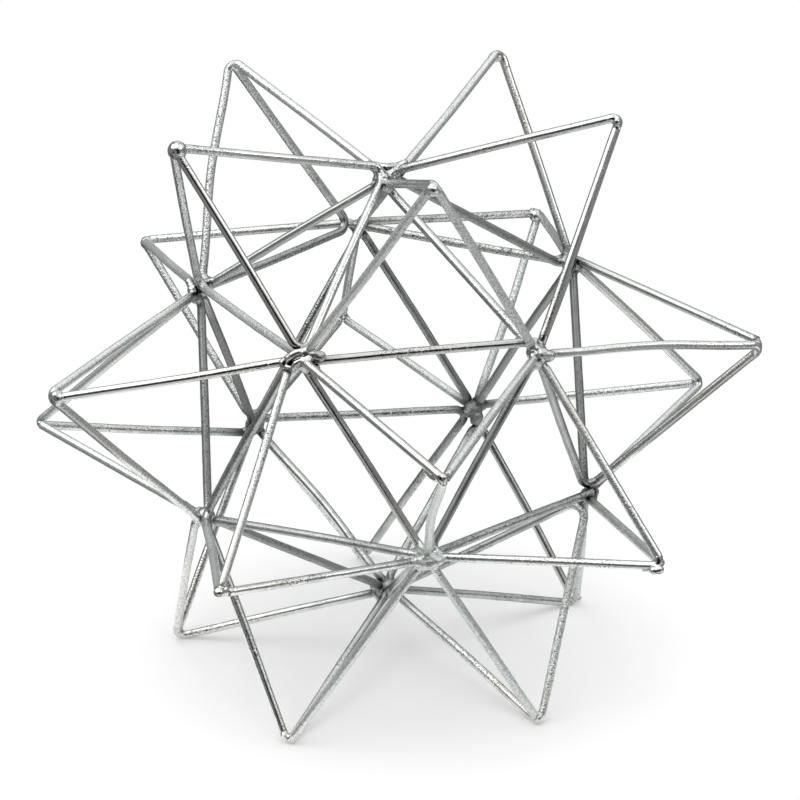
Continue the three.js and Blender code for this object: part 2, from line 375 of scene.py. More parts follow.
# The plating's shader group and its sockets
PLATING = "Plating"
# The last two colours are burnt crust with painted shade, and painted shade in crevices
PLATING_COLOURS = ("Bright", "Warm", "Dull", "Bloom", "Speck", "Crust_and_shade", "Crevice_shade")
PLATING_SCALES = ("Grain Scale", "Blotch Scale", "Pip Scale", "Stretch Scale")
PLATING_SOCKETS = (
    ("INPUT", "NodeSocketColor", PLATING_COLOURS),
    ("INPUT", "NodeSocketVector", ("Middle",)),
    ("INPUT", "NodeSocketFloat", (*PLATING_SCALES, "Soot Reach", "Smooth", "Rough")),
    ("OUTPUT", "NodeSocketColor", ("Colour",)),
    ("OUTPUT", "NodeSocketFloat", ("Metallic", "Roughness", "Height")),
)

# Material name, roughness where the plating is clean and where it is worn, and depth of its bumps
WIRE_PLATING = ("plated_wire", 0.05, 0.32, 0.13 * MM)
WELD_PLATING = ("plated_weld", 0.08, 0.35, 0.04 * MM)

SKY_SAMPLES = 8  # rays that look for near metal

# Masks of the plating: where the pattern or mark behind each starts and ends, and the mask's values there
RAMPS = {
    "pip": (0.05, 0.35, 1, 0),
    "sparse": (0.5, 0.6, 0, 1),
    "patch": (0.42, 0.6, 0, 1),
    "coarse": (0.44, 0.6, 0.2, 1),
    "satin": (0.46, 0.58, 0, 1),
    "yellowed": (0.46, 0.6, 0, 1),
    "rugged": (0, 1, 0, 1),
    "unpolished": (0, -1, 1, 0),
    "bloom": (0, 1, 0, 1),
    "stain": (0, -1, 0, 1),
    "speck": (0.46, 0.36, 0, 1),
    "speck_in_bloom": (0, 1, 1, 0.15),
    "core": (0.062, 0.082, 1, 0.25),  # metres from the middle of the star
    # The masks from inside to tarnish paint shade: on sides that face the star's middle, in crevices that
    # the ambient occlusion finds, and round the darker hubs, where it mixes with burn and crust
    "inside": (0.3, -0.3, 0, 1),
    "shallow": (0.92, 0.42, 0, 0.97),
    "shallow_burn_and_shade": (-0.4, 0.5, 0, 1),
    "deep": (0.7, 0.5, 0, 1),
    "deep_burn_and_shade": (-0.05, 0.25, 0, 1),
    "crust_and_shade": (0.45, 1, 0, 0.7),
    "tarnish_and_shade": (0.25, 1, 0.05, 0.4),
    "mottle": (0.52, 0.4, 0, 0.8),
    "relief": (0, 1, 0.35, 1),
    "metallic": (0, 1, 1, 0.5),
}

# How much each mask of the plating counts
PIT_SHARE = 0.7
PATCH_SHARE = 0.4
# Tarnish near the core on sides that face out; sides that face the star's middle get more, as painted shade
OUTER_TARNISH_AND_SHADE = 0.6
STAIN_SHARE = 0.6
SATIN_SHARE = 0.6
DULLED_SHARE = 0.4
BLOOM_SHARE = 0.6
MATT_SHARE = 1.2
PIP_SHARE = 0.8

# Table and room
WHITE = (1, 1, 1, 1)
TABLE_COLOUR = (0.8, 0.8, 0.8, 1)
TABLE_SIDES = 96
TABLE_GLOW = (0.2, 0.4)  # up to its start and at the rim
TABLE_GLOW_START = 0.4  # as a share of the radius
SURROUND_RINGS = 24
SURROUND_SIDES = 48
SURROUND_FOOT = math.radians(-88)

# Dark and light patches of the room: bearing from the camera's side, elevation, inner and outer edge, all in
# degrees, and brightness
ROOM_PATCHES = (
    (0, 90, 45, 72, 0.9),
    (0, -42, 12, 40, 0.6),
    (-85, -45, 12, 38, 0.12),
    (75, -32, 8, 24, 1.1),
    (4, 9, 20, 38, 0.01),
)

# Lamps: bearing from the camera's side, elevation, size, distance and radiance
SOFTBOXES = {
    "softbox_left": (-70, 58, 1.7, 1.6, 1.05),
    "softbox_right": (75, 37, 0.5, 1.6, 1.6),
}


def length(name, description, default):
    """A size that a user may change, in metres."""
    return FloatProperty(name=name, description=description, default=default, unit="LENGTH", precision=5)


def colour(name, description, default):
    """A linear colour that a user may change."""
    kind = {"subtype": "COLOR", "min": 0, "max": 1}
    return FloatVectorProperty(name=name, description=description, default=default, **kind)


def number(name, description, default):
    """A plain value that a user may change."""
    return FloatProperty(name=name, description=description, default=default, precision=3)


def angle(name, description, degrees):
    """An angle that a user may change."""
    return FloatProperty(name=name, description=description, default=math.radians(degrees), subtype="ANGLE")


class StarSizes(bpy.types.PropertyGroup):
    """Sizes of the wires and of the welds between them."""

    hub_radius: length("Hub radius", "Middle of the star to the middle of a hub", 0.060)
    ray_height: length("Ray height", "Face of the core to where the legs of a ray would meet", 0.0515)
    wire_diameter: length("Wire diameter", "Thickness of the drawn wire", 0.0023)
    hub_bend_radius: length("Hub bend", "Middle line of a wire's bend at a hub", 0.00295)
    point_bend_radius: length("Point bend", "Middle line of the tight bend at a ray's point", 0.00175)
    strut_seat: length("Strut seat", "Ray's point to the cut end of its strut", 0.0026)
    strut_end: length("Strut end", "Middle of a hub to the cut end of a strut", 0.0015)
    hand_bow: length("Hand bow", "Most that a leg bows by chance", 0.00025)
    unevenness: number("Unevenness", "Share of the radius by which the wire swells and thins", 0.035)
    wire_sides: IntProperty(name="Wire sides", description="Facets round a wire", default=16, min=6)
    weld_core: length("Weld core", "Radius of the bead at the middle of a hub", 0.0028)
    weld_run: length("Weld run", "How far weld metal runs along the wires of a hub", 0.0065)
    point_bead: length("Point bead", "Radius of the bead in the bend at a ray's point", 0.0020)
    point_weld_run: length("Point weld run", "How far weld metal runs along the wires of a point", 0.0045)
    hub_voxel: length("Hub weld grid", "Grid on which a hub weld is fused", 0.00024)
    point_voxel: length("Point weld grid", "Grid on which a point weld is fused", 0.00018)


class StarFinish(bpy.types.PropertyGroup):
    """Colours and grain of the plating."""

    bright: colour("Bright plating", "Plating where it is clean", (0.905, 0.93, 0.92))
    dull: colour("Dull plating", "Plating where it has gone dull", (0.50, 0.525, 0.515))
    warm: colour("Warm plating", "Plating where it has gone a little yellow", (0.92, 0.915, 0.875))
    bloom: colour("Bloom", "Plating where it is pale and matt", (0.915, 0.955, 0.94))
    speck: colour("Specks", "Dark specks in the plating", (0.16, 0.17, 0.165))
    # Dark colour of burnt crust with painted shade round the darker hubs, and of stained legs
    crust_and_shade: colour("Crust_and_shade", "Burnt metal round the darker hubs", (0.26, 0.27, 0.265))
    # Near-black colour of the painted shade in the crevices of the welds
    crevice_shade: colour("Crevice_shade", "Burnt metal in the crevices of the welds", (0.015, 0.016, 0.0155))
    grain: length("Grain", "Width of the fine grain", 0.0005)
    # Reach of the ambient occlusion that paints shade into crevices
    soot_reach: length("Soot reach", "Distance over which near metal makes a crevice", 0.008)
    blotch: length("Blotch", "Width of the dull patches", 0.006)
    stretch: length("Stretch", "Length of the coarse and the clean stretches", 0.03)
    pip_spacing: length("Pip spacing", "Between the small pips in the plating", 0.0011)


class StarStage(bpy.types.PropertyGroup):
    """Camera, table and lights."""

    azimuth: angle("Azimuth", "Camera's bearing round the star, 0 looks along +Y", PHOTO_AZIMUTH)
    elevation: angle("Elevation", "Camera's height above the horizon", PHOTO_ELEVATION)
    distance: length("Distance", "Camera to the middle of the star", 0.9658)
    lens: number("Lens", "Focal length on the sensor, in millimetres", 161.95)
    sensor: number("Sensor", "Width of the sensor, in millimetres", 36)
    aim_right: length("Aim right", "Middle of the picture, right of the star's middle", 0.00272)
    aim_down: length("Aim down", "Middle of the picture, below the star's middle", 0.00306)
    table_radius: length("Table radius", "Round white table under the star", 0.10)
    surround_radius: length("Surround radius", "Dim room round the table", 2.4)
    surround_top: angle("Surround top", "Elevation at which the dim room opens to the white ceiling", 45)
    surround_level: number("Surround level", "Brightness of the dim room, 1 is white", 0.22)


def offset(table, key):
    """What a table gives for a key, as a vector in metres."""
    return Vector(table.get(key, (0, 0, 0))) * MM


class Wire:
    """One wire: the corners that it runs through in order, and whether it closes on itself."""

    def __init__(self, name, corners, closed):
        self.name = name
        self.corners = corners
        self.closed = closed


def wire_plan():
    """Every wire of the star, two to a ray."""
    wires = []
    for _, cap, band, other in HALVES:
        for k in range(RING_COUNT):
            here = f"{band}_hub_{k + 1}"
            ahead = f"{band}_hub_{(k + 1) % RING_COUNT + 1}"
            facing = f"{other}_hub_{(k + FACING_STEP) % RING_COUNT + 1}"
            cap_point = f"{cap}_point_{k + 1}"
            band_point = f"{band}_point_{k + 1}"
            strut = f"{cap}_ray_strut_{k + 1}"
            strut_end = [] if strut == PLAIN_STRUT else [ahead]
            wires.append(Wire(f"{cap}_ray_loop_{k + 1}", [f"{cap}_hub", ahead, cap_point], True))
            wires.append(Wire(strut, [cap_point, here, *strut_end], False))
            wires.append(Wire(f"{band}_ray_loop_{k + 1}", [here, facing, band_point], True))
            wires.append(Wire(f"{band}_ray_strut_{k + 1}", [band_point, ahead], False))
    return wires


def ring_hub(side, k, sizes):
    """Regular place of hub k on a half's ring, from the middle of the star."""
    turn = FIRST_HUB_ANGLE + 2 * math.pi * k / RING_COUNT
    reach = sizes.hub_radius / math.sqrt(5)  # as in a regular icosahedron
    return side * Vector((2 * reach * math.cos(turn), 2 * reach * math.sin(turn), reach))


def ray_point(hubs, sizes):
    """Regular place of the point over a face of the core."""
    middle = sum(hubs, Vector()) / len(hubs)
    return middle + middle.normalized() * sizes.ray_height


def regular_places(sizes):
    """Regular places of the hubs and points, from the middle of the star."""
    places = {}
    for side, cap, band, _ in HALVES:
        cap_hub = Vector((0, 0, side * sizes.hub_radius))
        places[f"{cap}_hub"] = cap_hub
        for k in range(RING_COUNT):
            edge = [ring_hub(side, k, sizes), ring_hub(side, k + 1, sizes)]
            facing = ring_hub(-side, k + FACING_STEP, sizes)
            places[f"{band}_hub_{k + 1}"] = edge[0]
            places[f"{cap}_point_{k + 1}"] = ray_point([*edge, cap_hub], sizes)
            places[f"{band}_point_{k + 1}"] = ray_point([*edge, facing], sizes)
    return places


def star_middle(places, wires):
    """Where the frame has the middle of the star: the mean step from each wire's corners to its CAD box."""
    steps = []
    for wire in wires:
        if not wire.closed:
            continue
        corners = [places[name] for name in wire.corners]
        low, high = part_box(wire.name)
        for axis in range(3):
            across = [corner[axis] for corner in corners]
            steps.append((axis, (low[axis] + high[axis]) / 2 - (min(across) + max(across)) / 2))
    return Vector([sum(s for a, s in steps if a == axis) / (len(steps) / 3) for axis in range(3)])


def bend_points(before, corner, after, radius):
    """Points round the bend of a wire at a corner between two other places."""
    back = (before - corner).normalized()
    ahead = (after - corner).normalized()
    half = back.angle(ahead) / 2
    inward = (back + ahead).normalized()
    along = (ahead - back).normalized()
    centre = corner + inward * (radius / math.sin(half))
    swing = math.pi / 2 - half
    steps = max(LEAST_BEND_STEPS, round(2 * swing * radius / BEND_STEP))
    turns = [swing * (2 * i / steps - 1) for i in range(steps + 1)]
    return [centre + radius * (along * math.sin(turn) - inward * math.cos(turn)) for turn in turns]


def leg_points(start, end, bow):
    """Points along a leg between two bends, without its ends. It bows most at its middle."""
    steps = max(LEAST_LEG_STEPS, round((end - start).length / LEG_STEP))
    places = [i / steps for i in range(1, steps)]
    return [start.lerp(end, t) + bow * math.sin(math.pi * t) ** 2 for t in places]


def leg_bow(first, second, direction, sizes):
    """How a leg between two corners bows, in the frame's axes."""
    chance = random.Random(f"{first} {second}")
    bow = Vector([chance.uniform(-1, 1) for _ in range(3)]) * sizes.hand_bow
    bow += offset(BOWS, (first, second))
    return bow - bow.project(direction)


def leg_value(table, first, second):
    """What a table of single legs gives for a leg."""
    for value, legs in table.items():
        if (first, second) in legs or (second, first) in legs:
            return value
    return 0


def evened(values, closed):
    """Values along a wire, each averaged with those near it."""
    count = len(values)
    even = []
    for i in range(count):
        near = range(i - EVENED_STEPS, i + EVENED_STEPS + 1)
        places = [j % count if closed else min(max(j, 0), count - 1) for j in near]
        even.append(sum(values[j] for j in places) / len(places))
    return even


def wire_route(wire, corners, sizes):
    """The middle line of a wire round its bends and along its legs, and the leg of each of its points."""
    names = wire.corners
    count = len(names)
    runs = []
    for i, name in enumerate(names):
        corner = corners[i]
        if wire.closed or 0 < i < count - 1:
            radius = sizes.point_bend_radius if "point" in name else sizes.hub_bend_radius
            radius *= LOOSE_BENDS.get((wire.name, name), 1)
            runs.append(bend_points(corners[i - 1], corner, corners[(i + 1) % count], radius))
        elif i == 0:
            runs.append([corner + (corners[1] - corner).normalized() * sizes.strut_seat])
        else:
            runs.append([corner + (corners[i - 1] - corner).normalized() * sizes.strut_end])
    points, legs = [], []
    for i, run in enumerate(runs):
        points += run
        if wire.closed or i < count - 1:
            ahead = (i + 1) % count
            start, end = run[-1], runs[ahead][0]
            points += leg_points(start, end, leg_bow(names[i], names[ahead], end - start, sizes))
        legs += [(names[i], names[(i + 1) % count])] * (len(points) - len(legs))
    return points, legs


class Tube:
    """Vertices, faces and texture places of a round bar along a line of points."""

    def __init__(self, points, radii, sides, closed):
        self.sides = sides
        self.closed = closed
        self.count = len(points)
        self.vertices = []
        self.faces = []
        self.uvs = []
        self.add_rings(points, radii)
        self.add_skin(points, radii)

    def add_rings(self, points, radii):
        """Vertices in rings round the points, without a twist where a closed bar meets itself."""
        tangents = []
        for i in range(self.count):
            if self.closed:
                step = points[(i + 1) % self.count] - points[i - 1]
            else:
                step = points[min(i + 1, self.count - 1)] - points[max(i - 1, 0)]
            tangents.append(step.normalized())
        across = [tangents[0].orthogonal().normalized()]
        for tangent in tangents[1:]:
            carried = across[-1] - across[-1].project(tangent)
            across.append(carried.normalized())
        twist = 0.0
        if self.closed:
            home = across[-1] - across[-1].project(tangents[0])
            twist = math.atan2(tangents[0].dot(home.cross(across[0])), home.dot(across[0]))
        for i in range(self.count):
            second = tangents[i].cross(across[i])
            for j in range(self.sides):
                turn = twist * i / self.count + 2 * math.pi * j / self.sides
                outward = across[i] * math.cos(turn) + second * math.sin(turn)
                self.vertices.append(points[i] + outward * radii[i])

    def add_skin(self, points, radii):
        """Faces between the rings, laid out as texture in rows, and the cut ends of an open bar."""
        spans = self.count if self.closed else self.count - 1
        run = sum((points[i] - points[i - 1]).length for i in range(1, self.count))
        rows = max(1, round(math.sqrt(run / (2 * math.pi * max(radii)))))
        in_row = math.ceil(spans / rows)
        for i in range(spans):
            row, place = divmod(i, in_row)
            for j in range(self.sides):
                corners = []
                for di, dj in ((0, 0), (1, 0), (1, 1), (0, 1)):
                    corners.append((i + di) % self.count * self.sides + (j + dj) % self.sides)
                    along = UV_ALONG[0] + UV_ALONG[1] * (place + di) / in_row
                    around = UV_AROUND[0] + UV_AROUND[1] * (j + dj) / self.sides
                    self.uvs.append((along, (row + around) / rows))
                self.faces.append(corners[::-1])
                self.uvs[-4:] = self.uvs[-4:][::-1]
        if not self.closed:
            last = (self.count - 1) * self.sides
            for cap in (list(range(self.sides)), [last + j for j in range(self.sides)][::-1]):
                self.faces.append(cap)
                self.uvs += [UV_CUT_END] * self.sides


def linked(name, data):
    """A new object in the scene."""
    made = bpy.data.objects.new(name, data)
    bpy.context.scene.collection.objects.link(made)
    return made


def ridden(name, mesh, material):
    """A piece of the star, fixed to its body."""
    piece = linked(name, mesh)
    mesh.materials.clear()
    mesh.materials.append(material)
    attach(piece, BODY)
    return piece


def mark(mesh, attribute, values):
    """Writes a value for each vertex of a mesh."""
    layer = mesh.attributes.new(attribute, "FLOAT", "POINT")
    layer.data.foreach_set("value", values)


def viewing_axes(azimuth, elevation):
    """Right, up and back of a viewer who looks at the star."""
    level = math.cos(elevation)
    back = Vector((math.sin(azimuth) * level, -math.cos(azimuth) * level, math.sin(elevation)))
    right = Vector((math.cos(azimuth), math.sin(azimuth), 0))
    return right, back.cross(right), back


class Star:
    """The star's plan: its places in the frame and the middle line of every wire."""

    def __init__(self, sizes):
        self.sizes = sizes
        self.wires = wire_plan()
        regular = regular_places(sizes)
        leaned = {name: place + offset(LEANS, name) for name, place in regular.items()}
        self.middle = star_middle(leaned, self.wires)
        self.places = {name: place + self.middle for name, place in leaned.items()}
        self.routes, self.legs = {}, {}
        for wire in self.wires:
            self.routes[wire.name], self.legs[wire.name] = wire_route(wire, self.corners(wire), sizes)

    def corners(self, wire):
        """Where a wire has its corners."""
        shifts = SHIFTS.get(wire.name, {})
        return [self.places[name] + offset(shifts, name) for name in wire.corners]

    def burn_and_shade(self, mesh, corners):
        """Marks on a mesh how far the hubs among its corners have burnt it and darkened it with painted
        shade.
        """
        hubs = [(self.places[name], HUB_BURN_AND_SHADE[name]) for name in corners if name in HUB_BURN_AND_SHADE]
        values = []
        for vertex in mesh.vertices:
            burn_and_shade_total = 0
            for place, most in hubs:
                away = (vertex.co - place).length
                burn_and_shade_total += most * min(1, max(0, (BURN_AND_SHADE_FAR - away) / (BURN_AND_SHADE_FAR - BURN_AND_SHADE_NEAR)))
            values.append(burn_and_shade_total)
        mark(mesh, BURN_AND_SHADE_ATTRIBUTE, values)

    def passes(self, corner):
        """The place on each wire of a corner that lies nearest to it."""
        place = self.places[corner]
        routes = [self.routes[wire.name] for wire in self.wires if corner in wire.corners]
        return [min(route, key=lambda point: (point - place).length) for route in routes]


def make_wire(wire, star, material):
    """One wire as a round bar that swells and thins a little, with its foot rubbed flat."""
    sizes = star.sizes
    points = star.routes[wire.name]
    radius = sizes.wire_diameter / 2
    tube = Tube(points, [radius] * len(points), sizes.wire_sides, wire.closed)
    for i, place in enumerate(tube.vertices):
        outward = (place - points[i // tube.sides]).normalized()
        swell = sum(share * noise.noise(place / width) for width, share in SWELLS)
        place += outward * radius * sizes.unevenness * swell
        place.z = max(place.z, 0)
    mesh = bpy.data.meshes.new(f"{wire.name}_wire")
    mesh.from_pydata(tube.vertices, [], tube.faces)
    layer = mesh.uv_layers.new(name=UV_LAYER)
    layer.uv.foreach_set("vector", [value for uv in tube.uvs for value in uv])
    mesh.shade_smooth()
    if wire.name not in CLEAN_WIRES:
        star.burn_and_shade(mesh, wire.corners)
    for attribute, table in ((TONE_ATTRIBUTE, LEG_TONES), (GRAIN_ATTRIBUTE, LEG_GRAINS)):
        along = evened([leg_value(table, *leg) for leg in star.legs[wire.name]], wire.closed)
        mark(mesh, attribute, [along[i // tube.sides] for i in range(len(mesh.vertices))])
    piece = ridden(f"{wire.name}_wire", mesh, material)
    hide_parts(wire.name)


def add_bar(shapes, points, radii):
    """Adds a round bar to the shapes that will be fused."""
    tube = Tube(points, radii, BAR_SIDES, False)
    corners = [shapes.verts.new(place) for place in tube.vertices]
    for face in tube.faces:
        shapes.faces.new([corners[i] for i in face])


def add_rod(shapes, start, end, radius):
    """Adds a straight bar of one thickness to the shapes that will be fused."""
    points = [start.lerp(end, t / ROD_STEPS) for t in range(ROD_STEPS + 1)]
    add_bar(shapes, points, [radius] * len(points))


def add_bead(shapes, place, radius):
    """Adds a round bead to the shapes that will be fused."""
    matrix = Matrix.Translation(place)
    bmesh.ops.create_icosphere(shapes, subdivisions=BEAD_SUBDIVISIONS, radius=radius, matrix=matrix)


def chance_side(chance):
    """A direction by chance."""
    return Vector([chance.gauss(0, 1) for _ in range(3)]).normalized()


def near_runs(points, closed, place, reach):
    """The stretches of a wire that lie within reach of a place."""
    near = [(point - place).length < reach for point in points]
    if closed and not all(near):
        first = near.index(False)
        points = points[first:] + points[:first]
        near = near[first:] + near[:first]
    runs = [[]]
    for point, close in zip(points, near):
        if close:
            runs[-1].append(point)
        elif runs[-1]:
            runs.append([])
    return [run for run in runs if len(run) >= LEAST_RUN_POINTS]


def add_weld_runs(shapes, star, corner, run_out, shares, chance):
    """Weld metal along each wire at a corner: thick at the corner, and sunk into the wire where it ends."""
    place = star.places[corner]
    radius = star.sizes.wire_diameter / 2
    thick, thin = shares
    for wire in star.wires:
        if corner not in wire.corners:
            continue
        reach = run_out * chance.uniform(*RUN_CHANCE)
        for run in near_runs(star.routes[wire.name], wire.closed, place, reach):
            outs = [(point - place).length / reach for point in run]
            add_bar(shapes, run, [radius * (thick + (thin - thick) * out ** RUN_TAPER) for out in outs])


def fused(name, shapes, voxel, lumps):
    """One skin over overlapping shapes, drawn smooth as molten metal is, then a little lumpy."""
    mesh = bpy.data.meshes.new(name)
    shapes.to_mesh(mesh)
    shapes.free()
    mould = linked(name, mesh)
    remesh = mould.modifiers.new("fuse", "REMESH")
    remesh.mode = "VOXEL"
    remesh.voxel_size = voxel
    smooth = mould.modifiers.new("flow", "SMOOTH")
    smooth.factor = FLOW_FACTOR
    smooth.iterations = FLOW_STEPS
    evaluated = mould.evaluated_get(bpy.context.evaluated_depsgraph_get())
    skin = bpy.data.meshes.new_from_object(evaluated)
    bpy.data.objects.remove(mould)
    bpy.data.meshes.remove(mesh)
    skin.name = name
    height, width = lumps
    normals = [vertex.normal.copy() for vertex in skin.vertices]
    for vertex, normal in zip(skin.vertices, normals):
        fine = noise.noise(vertex.co / (FINE_LUMP_WIDTH * width))
        lump = noise.noise(vertex.co / width) + FINE_LUMP_HEIGHT * fine
        moved = vertex.co + normal * height * lump
        moved.z = max(moved.z, 0)
        vertex.co = moved
    skin.shade_smooth()
    return skin


def add_strands(shapes, corner, star):
    """Adds the strands and drops of weld metal that stand out at a hub or point."""
    right, up, back = viewing_axes(math.radians(PHOTO_AZIMUTH), math.radians(PHOTO_ELEVATION))
    for radius, *places in STRANDS.get(corner, ()):
        points = [star.places[corner] + (right * x + up * y + back * z) * MM for x, y, z in places]
        for point in points:
            add_bead(shapes, point, radius * MM)
        for start, end in zip(points, points[1:]):
            add_rod(shapes, start, end, radius * MM)


def add_bridge(shapes, corner, star):
    """Adds the bend by which two legs run into each other at a hub or point."""
    if corner not in BRIDGES:
        return
    first, second, shift, radius = BRIDGES[corner]
    place = star.places[corner] + Vector(shift) * MM
    ends = [star.places[name] for name in (first, second)]
    bend = bend_points(ends[0], place, ends[1], radius * MM)
    outer = [run + (end - run).normalized() * BRIDGE_RUN for run, end in zip((bend[0], bend[-1]), ends)]
    thick = BRIDGE_THICKNESS * star.sizes.wire_diameter / 2
    add_bar(shapes, [outer[0], *bend, outer[1]], [thick] * (len(bend) + 2))


def make_hub_weld(corner, star, material):
    """The knot of weld metal where the wires of a hub meet, with strands out to each wire."""
    sizes = star.sizes
    passes = star.passes(corner)
    middle = sum(passes, star.places[corner]) / (len(passes) + 1)
    chance = random.Random(corner)
    shapes = bmesh.new()
    core = HUB_CORES.get(corner, 1)
    add_bead(shapes, middle, core * sizes.weld_core)
    for near in passes:
        add_rod(shapes, middle, near, core * chance.uniform(*HUB_RODS) * MM)
        aside = chance_side(chance)
        add_bead(shapes, near + aside * core * HUB_DROP_ASIDE, core * chance.uniform(*HUB_DROPS) * MM)
    add_weld_runs(shapes, star, corner, sizes.weld_run, HUB_RUN, chance)
    add_strands(shapes, corner, star)
    add_bridge(shapes, corner, star)
    skin = fused(f"{corner}_weld_bead", shapes, sizes.hub_voxel, HUB_LUMPS)
    star.burn_and_shade(skin, [corner])
    mark(skin, TONE_ATTRIBUTE, [HUB_TONES.get(corner, 0)] * len(skin.vertices))
    piece = ridden(f"{corner}_weld_bead", skin, material)
    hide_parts(f"{corner}_weld")


def make_point_weld(corner, star, material):
    """The weld that holds a strut's end in the bend at a ray's point."""
    sizes = star.sizes
    bend, end = star.passes(corner)
    chance = random.Random(corner)
    shapes = bmesh.new()
    bead = POINT_BEADS.get(corner, chance.uniform(*POINT_BEAD_CHANCE)) * sizes.point_bead
    add_bead(shapes, bend.lerp(end, POINT_BEAD_PLACE), bead)
    if corner not in POINT_BEADS:
        aside = chance_side(chance)
        add_bead(shapes, end + aside * POINT_DROP_ASIDE, chance.uniform(*POINT_DROPS) * MM)
    add_weld_runs(shapes, star, corner, sizes.point_weld_run, POINT_RUN, chance)
    add_strands(shapes, corner, star)
    add_bridge(shapes, corner, star)
    skin = fused(f"{corner}_weld", shapes, sizes.point_voxel, POINT_LUMPS)
    ridden(f"{corner}_weld", skin, material)


class NodeTree:
    """A node tree with short calls to add and join its nodes."""

    def __init__(self, tree):
        self.tree = tree

    def add(self, kind, values=None, **settings):
        """A node with its settings and the values of its inputs."""
        node = self.tree.nodes.new(kind)
        for name, value in settings.items():
            setattr(node, name, value)
        for socket, value in (values or {}).items():
            node.inputs[socket].default_value = value
        return node

    def join(self, source, target):
        self.tree.links.new(source, target)

    def feed(self, sockets, values):
        """Joins each socket to another node's output, or sets it to a plain value."""
        for socket, value in zip(sockets, values):
            if isinstance(value, bpy.types.NodeSocket):
                self.join(value, socket)
            else:
                socket.default_value = value

    def math(self, operation, first, second):
        node = self.add("ShaderNodeMath", operation=operation)
        self.feed(node.inputs, (first, second))
        return node.outputs[0]

    def plus(self, first, second):
        return self.math("ADD", first, second)

    def minus(self, first, second):
        return self.math("SUBTRACT", first, second)

    def times(self, first, second):
        return self.math("MULTIPLY", first, second)

    def larger(self, first, second):
        return self.math("MAXIMUM", first, second)

    def vectors(self, operation, *values):
        node = self.add("ShaderNodeVectorMath", operation=operation)
        self.feed(node.inputs, values)
        return node.outputs

    def mix(self, factor, first, second):
        """Two plain values, mixed by a factor."""
        node = self.add("ShaderNodeMix", data_type="FLOAT")
        self.feed((node.inputs[0], *node.inputs[2:4]), (factor, first, second))
        return node.outputs[0]

    def blend(self, factor, first, second):
        """Two colours, mixed by a factor."""
        node = self.add("ShaderNodeMix", data_type="RGBA")
        self.feed((node.inputs[0], *node.inputs[6:8]), (factor, first, second))
        return node.outputs[2]

    def remap(self, value, low, high, out_low, out_high):
        limits = {"From Min": low, "From Max": high, "To Min": out_low, "To Max": out_high}
        node = self.add("ShaderNodeMapRange", limits)
        self.join(value, node.inputs["Value"])
        return node.outputs["Result"]

    def ramp(self, name, value):
        """One of the plating's masks, made from a pattern or a mark."""
        return self.remap(value, *RAMPS[name])

    def attribute(self, name):
        return self.add("ShaderNodeAttribute", attribute_name=name).outputs["Fac"]

    def channels(self, colours):
        node = self.add("ShaderNodeSeparateColor")
        self.join(colours, node.inputs[0])
        return node.outputs

    def surface(self, shader, kind="ShaderNodeOutputMaterial"):
        self.join(shader.outputs[0], self.add(kind).inputs["Surface"])


def shade_and_burn_masks(nodes, given, place):
    """Masks of painted shade in crevices, of burnt crust with painted shade round the darker hubs, and of
    tarnish near the core with painted shade on the sides that face the star's middle.
    """
    # Painted shade: ambient occlusion finds the crevices between wires and welds
    sky = nodes.add("ShaderNodeAmbientOcclusion", samples=SKY_SAMPLES)
    nodes.join(given["Soot Reach"], sky.inputs["Distance"])
    open_sky = sky.outputs["AO"]
    outward = nodes.vectors("SUBTRACT", place, given["Middle"])[0]
    core = nodes.ramp("core", nodes.vectors("LENGTH", outward)["Value"])
    heading_out = nodes.vectors("NORMALIZE", outward)[0]
    normal = nodes.add("ShaderNodeNewGeometry").outputs["Normal"]
    # Painted shade on the sides that face the star's middle
    inside = nodes.ramp("inside", nodes.vectors("DOT_PRODUCT", heading_out, normal)["Value"])
    burn_and_shade = nodes.attribute(BURN_AND_SHADE_ATTRIBUTE)
    # How strong the painted crevice shade is, from the hubs' marks of burn and shade
    burnt_and_shaded = nodes.times(core, nodes.ramp("shallow_burn_and_shade", burn_and_shade))
    shallow = nodes.times(nodes.ramp("shallow", open_sky), burnt_and_shaded)
    sunken = nodes.times(core, nodes.ramp("deep_burn_and_shade", burn_and_shade))
    deep = nodes.times(nodes.ramp("deep", open_sky), sunken)
    # Tarnish near the core, with painted shade on the sides that face the star's middle
    tarnish_and_shade = nodes.times(nodes.plus(inside, OUTER_TARNISH_AND_SHADE), nodes.ramp("tarnish_and_shade", core))
    return nodes.larger(shallow, deep), nodes.ramp("crust_and_shade", burn_and_shade), tarnish_and_shade


